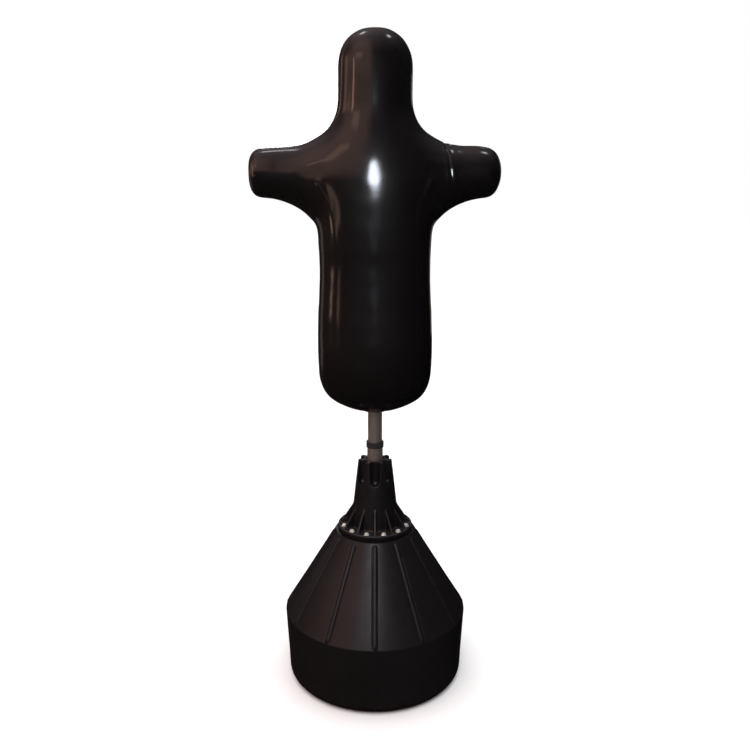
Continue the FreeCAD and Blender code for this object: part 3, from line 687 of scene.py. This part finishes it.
def make_collar():
    h = 1.55
    gx = np.arange(h / 2, 108.0 + h, h)
    g = np.arange(-108.0 - h, 108.0 + 2 * h, h)
    gz = np.arange(406.0, 624.0 + h, h)
    X, Y, Z = np.meshgrid(gx, g, gz, indexing="ij")
    F = np.empty(X.size)
    flat = [v.ravel() for v in (X, Y, Z)]
    for part in np.array_split(np.arange(X.size), 12):
        F[part] = collar(*[v[part] for v in flat])
    F = F.reshape(X.shape)
    # the flutes and bolts are the same left and right
    full_x = np.concatenate([-gx[::-1], gx])
    F = np.concatenate([F[::-1], F], 0)
    P, quads = surface_nets(F, full_x, g, gz)
    P = project(collar, P, 3, 0.15, 1.0)
    P = relax(collar, P, quads, 3, 0.45, 0.15)
    P = project(collar, P, 2, 0.1, 0.6)
    ob = mesh_object("collar_moulding", P * MM, [quads])
    return ob


# ================================================================= materials
class Mat:
    """Small builder over a node tree."""

    def __init__(self, name):
        self.m = bpy.data.materials.new(name)
        self.m.use_nodes = True
        self.t = self.m.node_tree
        self.t.nodes.clear()
        self.out = self.t.nodes.new("ShaderNodeOutputMaterial")
        self.b = self.t.nodes.new("ShaderNodeBsdfPrincipled")
        self.t.links.new(self.b.outputs[0], self.out.inputs[0])
        self.co = self.t.nodes.new("ShaderNodeTexCoord").outputs["Object"]

    def set(self, **kw):
        for k, v in kw.items():
            s = self.b.inputs[k.replace("_", " ")]
            s.default_value = v
        return self

    def link(self, a, b):
        self.t.links.new(a, b)

    def stretch(self, scale, source=None):
        n = self.t.nodes.new("ShaderNodeMapping")
        n.inputs["Scale"].default_value = scale
        self.link(source or self.co, n.inputs["Vector"])
        return n.outputs[0]

    def noise(self, scale, detail=4.0, rough=0.55, coords=None, dist=0.0):
        n = self.t.nodes.new("ShaderNodeTexNoise")
        n.inputs["Scale"].default_value = scale
        n.inputs["Detail"].default_value = detail
        n.inputs["Roughness"].default_value = rough
        n.inputs["Distortion"].default_value = dist
        self.link(coords or self.co, n.inputs["Vector"])
        return n.outputs["Fac"]

    def voronoi(self, scale, feature="F1", coords=None, rand=1.0):
        n = self.t.nodes.new("ShaderNodeTexVoronoi")
        n.feature = feature
        n.inputs["Scale"].default_value = scale
        n.inputs["Randomness"].default_value = rand
        self.link(coords or self.co, n.inputs["Vector"])
        return n.outputs["Distance"]

    def ramp(self, fac, lo, hi, a=0.0, b=1.0, smooth=False):
        n = self.t.nodes.new("ShaderNodeMapRange")
        if smooth:
            n.interpolation_type = "SMOOTHSTEP"
        n.inputs["From Min"].default_value = lo
        n.inputs["From Max"].default_value = hi
        n.inputs["To Min"].default_value = a
        n.inputs["To Max"].default_value = b
        self.link(fac, n.inputs["Value"])
        return n.outputs[0]

    def math(self, op, a, b=None):
        n = self.t.nodes.new("ShaderNodeMath")
        n.operation = op
        for s, v in zip(n.inputs, (a, b)):
            if v is None:
                continue
            if isinstance(v, (int, float)):
                s.default_value = v
            else:
                self.link(v, s)
        return n.outputs[0]

    def mix(self, fac, a, b):
        n = self.t.nodes.new("ShaderNodeMix")
        n.data_type = "RGBA"
        ins = [s for s in n.inputs if s.type == "RGBA"]
        if isinstance(fac, float):
            n.inputs[0].default_value = fac
        else:
            self.link(fac, n.inputs[0])
        for s, v in zip(ins, (a, b)):
            if isinstance(v, tuple):
                s.default_value = (*v, 1.0)
            else:
                self.link(v, s)
        return [s for s in n.outputs if s.type == "RGBA"][0]

    def xyz(self):
        n = self.t.nodes.new("ShaderNodeSeparateXYZ")
        self.link(self.co, n.inputs[0])
        return n.outputs

    def bump(self, height, distance, strength=1.0, normal=None):
        n = self.t.nodes.new("ShaderNodeBump")
        n.inputs["Strength"].default_value = strength
        n.inputs["Distance"].default_value = distance
        self.link(height, n.inputs["Height"])
        if normal is not None:
            self.link(normal, n.inputs["Normal"])
        return n.outputs[0]

    def to(self, socket, what):
        self.link(what, self.b.inputs[socket])
        return self


def mat_vinyl():
    m = Mat("vinyl_black")
    m.set(IOR=1.5, Specular_IOR_Level=0.13, Coat_Weight=1.0, Coat_Roughness=0.138, Coat_IOR=1.5)
    big = m.noise(5.0, 3.0)
    blot = m.noise(17.0, 5.0, 0.6)
    c = m.mix(m.ramp(big, 0.3, 0.7), (0.0020, 0.0014, 0.0014), (0.0031, 0.0023, 0.0022))
    dust = m.ramp(m.noise(160.0, 6.0, 0.7), 0.62, 0.78, 0.0, 0.35)
    c = m.mix(m.math("MULTIPLY", dust, m.ramp(blot, 0.45, 0.7)), c, (0.009, 0.008, 0.0075))
    m.to("Base Color", c)
    m.to("Roughness", m.math("ADD", m.ramp(blot, 0.3, 0.72, 0.42, 0.54), m.ramp(m.noise(2.6, 2.0), 0.3, 0.7, -0.03, 0.04)))
    fine = m.noise(620.0, 3.0, 0.6)
    peel = m.noise(210.0, 2.0, 0.5)
    slow = m.noise(34.0, 2.0, 0.4)
    n = m.bump(slow, 0.0009, 0.16)
    n = m.bump(peel, 0.00035, 0.14, n)
    n = m.bump(fine, 0.00012, 0.16, n)
    m.to("Normal", n)
    m.to("Coat Normal", n)
    return m.m


def mat_tank(name, dark, light, rough, grain):
    m = Mat(name)
    m.set(IOR=1.5, Specular_IOR_Level=0.36)
    z = m.xyz()[2]
    big = m.noise(6.0, 3.0)
    blot = m.noise(26.0, 5.0, 0.65)
    streak = m.noise(1.0, 5.0, 0.6, m.stretch((90.0, 90.0, 7.0)))
    c = m.mix(m.ramp(big, 0.3, 0.7), dark, light)
    # rubbed near the floor, with a trace of dust in the grain
    low = m.math("MULTIPLY", m.ramp(z, 0.0, 0.07, 1.0, 0.0), m.ramp(m.noise(70.0, 6.0, 0.7), 0.45, 0.7))
    c = m.mix(m.math("MULTIPLY", low, 0.5), c, tuple(v * 2.6 for v in light))
    m.to("Base Color", c)
    r = m.math("ADD", m.ramp(blot, 0.3, 0.72, rough - 0.045, rough + 0.06), m.ramp(streak, 0.35, 0.7, -0.02, 0.03))
    m.to("Roughness", m.math("ADD", r, m.math("MULTIPLY", low, 0.16)))
    fine = m.noise(900.0, 3.0, 0.6)
    pit = m.noise(260.0, 3.0, 0.55)
    n = m.bump(m.noise(22.0, 2.0, 0.4), 0.0012, 0.12)
    n = m.bump(pit, 0.0004, grain * 0.55, n)
    n = m.bump(fine, 0.00016, grain, n)
    # short handling scuffs
    sc = m.noise(1.0, 3.0, 0.5, m.stretch((420.0, 420.0, 26.0)), 0.6)
    n = m.bump(m.ramp(sc, 0.68, 0.74), 0.00006, 0.35, n)
    m.to("Normal", n)
    return m.m


def mat_collar():
    m = Mat("collar_plastic")
    m.set(IOR=1.5)
    z = m.xyz()[2]
    blot = m.noise(48.0, 5.0, 0.65)
    big = m.noise(14.0, 3.0)
    c = m.mix(m.ramp(big, 0.3, 0.7), (0.0032, 0.0024, 0.0026), (0.0052, 0.0040, 0.0043))
    top = m.ramp(z, 0.6185, 0.6197)
    flr = m.math("MULTIPLY", m.ramp(z, 0.4322, 0.4332), m.ramp(z, 0.4365, 0.441, 1.0, 0.0))
    dust = m.math("MULTIPLY", m.math("MAXIMUM", top, m.math("MULTIPLY", flr, 0.8)), m.ramp(m.noise(240.0, 6.0, 0.7), 0.36, 0.68, 0.25, 1.0))
    c = m.mix(dust, c, (0.019, 0.017, 0.0175))
    m.to("Base Color", c)
    m.to("Roughness", m.math("ADD", m.ramp(blot, 0.3, 0.7, 0.36, 0.48), m.math("MULTIPLY", dust, 0.14)))
    n = m.bump(m.noise(30.0, 2.0, 0.4), 0.0008, 0.14)
    n = m.bump(m.noise(330.0, 3.0, 0.6), 0.0003, 0.22, n)
    n = m.bump(m.noise(1000.0, 2.0, 0.5), 0.00012, 0.3, n)
    m.to("Normal", n)
    return m.m


def mat_metal(name, col_a, col_b, rough, scratch=(60.0, 60.0, 4.0), rust=0.0, pit=0.25, metal=1.0):
    m = Mat(name)
    m.set(Metallic=metal)
    blot = m.noise(60.0, 5.0, 0.6)
    streak = m.noise(1.0, 6.0, 0.7, m.stretch(scratch))
    c = m.mix(m.ramp(streak, 0.3, 0.7), col_a, col_b)
    if rust:
        c = m.mix(m.math("MULTIPLY", m.ramp(m.noise(120.0, 6.0, 0.7), 0.58, 0.72), rust), c, (0.16, 0.085, 0.045))
    m.to("Base Color", c)
    m.to("Roughness", m.math("ADD", m.ramp(blot, 0.3, 0.7, rough - 0.05, rough + 0.08), m.ramp(streak, 0.3, 0.7, -0.03, 0.05)))
    n = m.bump(streak, 0.0002, pit)
    n = m.bump(m.noise(700.0, 3.0, 0.6), 0.0001, pit * 0.7, n)
    m.to("Normal", n)
    return m.m


def mat_plastic(name, dark, light, rough, scale=1.0):
    m = Mat(name)
    m.set(IOR=1.5)
    blot = m.noise(90.0 * scale, 5.0, 0.6)
    c = m.mix(m.ramp(m.noise(30.0 * scale, 3.0), 0.3, 0.7), dark, light)
    wear = m.math("MULTIPLY", m.ramp(m.noise(300.0 * scale, 6.0, 0.75), 0.6, 0.75), 0.35)
    c = m.mix(wear, c, tuple(min(1.0, v * 1.9 + 0.004) for v in light))
    m.to("Base Color", c)
    m.to("Roughness", m.ramp(blot, 0.3, 0.7, rough - 0.06, rough + 0.08))
    n = m.bump(m.noise(420.0 * scale, 3.0, 0.6), 0.0003, 0.2)
    n = m.bump(m.noise(1400.0 * scale, 2.0, 0.5), 0.0001, 0.35, n)
    m.to("Normal", n)
    return m.m


def mat_foam():
    m = Mat("foam_core")
    cell = m.voronoi(520.0)
    c = m.mix(m.ramp(cell, 0.1, 0.6), (0.62, 0.55, 0.36), (0.84, 0.78, 0.58))
    c = m.mix(m.ramp(m.noise(12.0, 4.0), 0.35, 0.7, 0.0, 0.5), c, (0.72, 0.6, 0.36))
    m.to("Base Color", c)
    m.to("Roughness", m.ramp(cell, 0.0, 0.7, 0.8, 0.96))
    n = m.bump(cell, 0.0008, 0.6)
    m.to("Normal", m.bump(m.noise(60.0, 4.0), 0.002, 0.3, n))
    return m.m


MATS = {
    "vinyl_black": mat_vinyl(),
    "foam_core": mat_foam(),
    "base_plastic": mat_tank("base_plastic", (0.0044, 0.0034, 0.0037), (0.0062, 0.0049, 0.0053), 0.38, 0.3),
    "collar_plastic": mat_collar(),
    "cap_plastic": mat_plastic("cap_plastic", (0.011, 0.0098, 0.0098), (0.017, 0.0155, 0.0155), 0.4),
    "knob_plastic": mat_plastic("knob_plastic", (0.011, 0.011, 0.011), (0.018, 0.0175, 0.0175), 0.36),
    "nylon_black": mat_plastic("nylon_black", (0.012, 0.012, 0.0125), (0.019, 0.019, 0.02), 0.34),
    "nylon_natural": mat_plastic("nylon_natural", (0.66, 0.62, 0.52), (0.78, 0.75, 0.66), 0.38),
    "seal_rubber": mat_plastic("seal_rubber", (0.012, 0.012, 0.012), (0.02, 0.02, 0.02), 0.72),
    "zinc_steel": mat_metal("zinc_steel", (0.74, 0.68, 0.60), (0.86, 0.83, 0.79), 0.33, (300.0, 300.0, 60.0), 0.08, 0.2, 0.55),
    "brass_insert": mat_metal("brass_insert", (0.62, 0.44, 0.2), (0.8, 0.6, 0.3), 0.3, (200.0, 200.0, 200.0)),
    "pole_steel": mat_metal("pole_steel", (0.30, 0.25, 0.215), (0.44, 0.385, 0.34), 0.33, (240.0, 240.0, 3.0), 0.25, 0.18, 0.85),
    "core_steel": mat_metal("core_steel", (0.26, 0.26, 0.27), (0.36, 0.36, 0.37), 0.45, (200.0, 200.0, 5.0), 0.2, 0.3),
}
SLOT_OF = {s["node"]: s["material_slot"] for s in frame["record"]["subparts"]}
for node, ob in NODES.items():
    if not ob.data.materials:
        ob.data.materials.append(MATS[SLOT_OF[node]])
    for s in ob.material_slots:
        s.material = MATS[SLOT_OF[node]]


def finish_piece(ob, body_name, slot, *nodes):
    ob.data.materials.clear()
    ob.data.materials.append(MATS[slot])
    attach(ob, body_name)
    if nodes:
        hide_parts(*nodes)
    return ob


skin = finish_piece(make_skin(), "dummy", "vinyl_black", "dummy_skin")
tank = finish_piece(make_tank(), "base", "base_plastic", "base_shell")
coll = finish_piece(make_collar(), "base", "collar_plastic", "neck_collar")

# ====================================================== floor, light, camera
fl = bpy.data.meshes.new("floor")
fl.from_pydata([(-40, -40, -0.0005), (40, -40, -0.0005), (40, 40, -0.0005), (-40, 40, -0.0005)], [], [(0, 1, 2, 3)])
floor = bpy.data.objects.new("floor", fl)
bpy.context.scene.collection.objects.link(floor)
fm = Mat("floor_paint")
fm.set(Roughness=0.75, IOR=1.3)
fm.to("Base Color", fm.mix(fm.ramp(fm.noise(3.0, 4.0), 0.3, 0.7), (0.86, 0.86, 0.86), (0.868, 0.868, 0.866)))
fl.materials.append(fm.m)
floor.visible_glossy = False

bpy.context.scene.view_settings.view_transform = "Standard"
bpy.context.scene.view_settings.look = "None"

world = bpy.data.worlds.new("studio")
bpy.context.scene.world = world
world.use_nodes = True
wt = world.node_tree
wt.nodes.clear()
wo = wt.nodes.new("ShaderNodeOutputWorld")
lp = wt.nodes.new("ShaderNodeLightPath")


def bg(color, strength):
    n = wt.nodes.new("ShaderNodeBackground")
    if isinstance(color, tuple):
        n.inputs[0].default_value = (*color, 1.0)
    else:
        wt.links.new(color, n.inputs[0])
    n.inputs[1].default_value = strength
    return n


tc = wt.nodes.new("ShaderNodeTexCoord")
sep = wt.nodes.new("ShaderNodeSeparateXYZ")
wt.links.new(tc.outputs["Generated"], sep.inputs[0])
ramp = wt.nodes.new("ShaderNodeValToRGB")
wt.links.new(sep.outputs[2], ramp.inputs[0])
el = ramp.color_ramp.elements
el[0].position, el[0].color = 0.0, (0.020, 0.018, 0.019, 1)
el[1].position, el[1].color = 1.0, (0.62, 0.58, 0.60, 1)
for at, v in ((0.12, (0.050, 0.046, 0.048, 1)), (0.55, (0.115, 0.108, 0.113, 1)), (0.8, (0.42, 0.39, 0.40, 1))):
    e = el.new(at)
    e.color = v
# the room is warmer and lighter on the left than on the right
side = wt.nodes.new("ShaderNodeMapRange")
side.inputs["From Min"].default_value = -0.75
side.inputs["From Max"].default_value = 0.45
wt.links.new(sep.outputs[0], side.inputs["Value"])
tint = wt.nodes.new("ShaderNodeMix")
tint.data_type = "RGBA"
tint.blend_type = "MIX"
tin = [q for q in tint.inputs if q.type == "RGBA"]
tin[0].default_value = (1.30, 1.02, 0.97, 1)
tin[1].default_value = (0.30, 0.30, 0.32, 1)
wt.links.new(side.outputs[0], tint.inputs[0])
mul = wt.nodes.new("ShaderNodeMix")
mul.data_type = "RGBA"
mul.blend_type = "MULTIPLY"
mul.inputs[0].default_value = 1.0
mi = [q for q in mul.inputs if q.type == "RGBA"]
wt.links.new(ramp.outputs[0], mi[0])
wt.links.new([q for q in tint.outputs if q.type == "RGBA"][0], mi[1])


def direction_lobe(v, lo, hi):
    d = wt.nodes.new("ShaderNodeVectorMath")
    d.operation = "DOT_PRODUCT"
    d.inputs[1].default_value = tuple(Vector(v).normalized())
    wt.links.new(tc.outputs["Generated"], d.inputs[0])
    return eased(d.outputs["Value"], lo, hi)


def eased(value, lo, hi):
    n = wt.nodes.new("ShaderNodeMapRange")
    n.interpolation_type = "SMOOTHSTEP"
    n.inputs["From Min"].default_value = lo
    n.inputs["From Max"].default_value = hi
    wt.links.new(value, n.inputs["Value"])
    return n.outputs[0]


def times(a, b):
    n = wt.nodes.new("ShaderNodeMath")
    n.operation = "MULTIPLY"
    for q, v in zip(n.inputs, (a, b)):
        if isinstance(v, float):
            q.default_value = v
        else:
            wt.links.new(v, q)
    return n.outputs[0]


# a warm wall to the front left, above eye level
wall = times(direction_lobe((-0.70, -0.66, 0.28), 0.50, 0.97), eased(sep.outputs[2], 0.0, 0.26))
wall = times(wall, eased(sep.outputs[0], 0.03, -0.30))
glow = wt.nodes.new("ShaderNodeMix")
glow.data_type = "RGBA"
glow.blend_type = "ADD"
glow.clamp_result = False
gi = [q for q in glow.inputs if q.type == "RGBA"]
wt.links.new(wall, glow.inputs[0])
wt.links.new([q for q in mul.outputs if q.type == "RGBA"][0], gi[0])
gi[1].default_value = (0.70, 0.42, 0.33, 1)
room = bg([q for q in glow.outputs if q.type == "RGBA"][0], 1.0)
cam_bg = bg((1.0, 1.0, 1.0), 1.0)
m2 = wt.nodes.new("ShaderNodeMixShader")
wt.links.new(lp.outputs["Is Camera Ray"], m2.inputs[0])
wt.links.new(room.outputs[0], m2.inputs[1])
wt.links.new(cam_bg.outputs[0], m2.inputs[2])
wt.links.new(m2.outputs[0], wo.inputs[0])


def area(name, pos, aim, size, power, color):
    d = bpy.data.lights.new(name, "AREA")
    d.shape = "RECTANGLE"
    d.size, d.size_y = size
    d.energy = power
    d.color = color
    o = bpy.data.objects.new(name, d)
    o.location = pos
    o.rotation_euler = (Vector(aim) - Vector(pos)).to_track_quat("-Z", "Y").to_euler()
    o.visible_camera = False
    bpy.context.scene.collection.objects.link(o)
    return o


def ellipse(o):
    o.data.shape = "ELLIPSE"
    return o


ellipse(area("key", (-0.022, -1.1, 1.443), (-0.022, 0, 1.443), (0.14, 0.345), 4.3, (0.84, 0.89, 1.0)))
ellipse(area("key_tail", (-0.01, -1.35, 1.09), (-0.01, 0, 1.09), (0.12, 0.40), 0.050, (0.80, 0.84, 1.0)))
area("neck_glow", (0.0, -3.1, 2.10), (0, 0, 1.5), (0.4, 0.22), 0.022, (0.78, 0.84, 1.0))
cone_light = area("cone_sheen", (-0.12, -1.30, 1.10), (0, -0.1, 0.35), (0.40, 0.22), 2.2, (0.88, 0.90, 1.0))
area("spot_l", (-0.62, 0.8, 3.3), (0, 0, 1.4), (0.34, 0.18), 1.15, (0.90, 0.92, 1.0))
area("spot_r", (0.85, 0.2, 3.3), (0, 0, 1.4), (0.40, 0.22), 1.9, (0.96, 0.96, 1.0))
warm = [area("warm_a", (-2.3, -0.75, 1.62), (0, 0, 1.35), (0.34, 1.5), 5.6, (1.0, 0.60, 0.48)),
        area("warm_b", (-2.3, 0.30, 1.80), (0, 0, 1.45), (0.7, 1.2), 2.6, (1.0, 0.50, 0.40)),
        area("warm_c", (-1.8, -1.5, 2.60), (0, 0, 1.4), (0.9, 0.35), 1.0, (1.0, 0.62, 0.46)),
        area("warm_d", (-1.89, -1.56, 0.98), (0, 0, 1.3), (0.24, 0.34), 0.34, (1.0, 0.66, 0.50))]
area("edge_l", (-2.0, 1.1, 0.95), (0, 0, 1.0), (0.6, 1.3), 0.8, (1.0, 0.84, 0.80))
area("edge_r", (1.2, 2.0, 1.25), (0, 0, 1.1), (0.4, 1.3), 0.7, (1.0, 0.98, 0.96))
area("back_key", (-0.5, 2.4, 1.9), (0, 0, 1.2), (0.35, 0.6), 4.0, (0.95, 0.97, 1.0))
# the panel that lights the cone's front is kept off the dummy's gloss
lit = bpy.data.collections.new("cone_lit")
for o in [tank, coll] + [NODES[k] for k in ("flange_bolts", "flange_washers", "flange_gasket", "lower_pole", "upper_pole", "guide_bush")]:
    lit.objects.link(o)
cone_light.light_linking.receiver_collection = lit
# the warm panels are meant for the dummy's gloss, and kept off the base and the ground
glossy = bpy.data.collections.new("dummy_lit")
on_base = set(frame["record"]["behaviour"]["bodies"]["base"])
for o in [skin] + [ob for node, ob in NODES.items() if node not in on_base]:
    glossy.objects.link(o)
for o in warm:
    o.light_linking.receiver_collection = glossy
sd = bpy.data.lights.new("dome", "SUN")
sd.energy = 3.65
sd.angle = math.radians(110.0)
dome = bpy.data.objects.new("dome", sd)
dome.location = (0, 0, 4)
dome.visible_glossy = False
bpy.context.scene.collection.objects.link(dome)
top = area("top_soft", (0.0, -0.6, 3.8), (0, 0, 0.6), (1.8, 1.8), 10, (1.0, 0.99, 0.98))
top.visible_glossy = False

cd = bpy.data.cameras.new("camera")
cam = bpy.data.objects.new("camera", cd)
bpy.context.scene.collection.objects.link(cam)
cam.location = (0.0, -2.08, 1.32)
cd.sensor_fit = "HORIZONTAL"
cd.angle = math.radians(50.0)
cam.rotation_euler = (math.radians(90.0 - 12.7), 0, 0)
bpy.context.scene.camera = cam

bpy.context.view_layer.update()
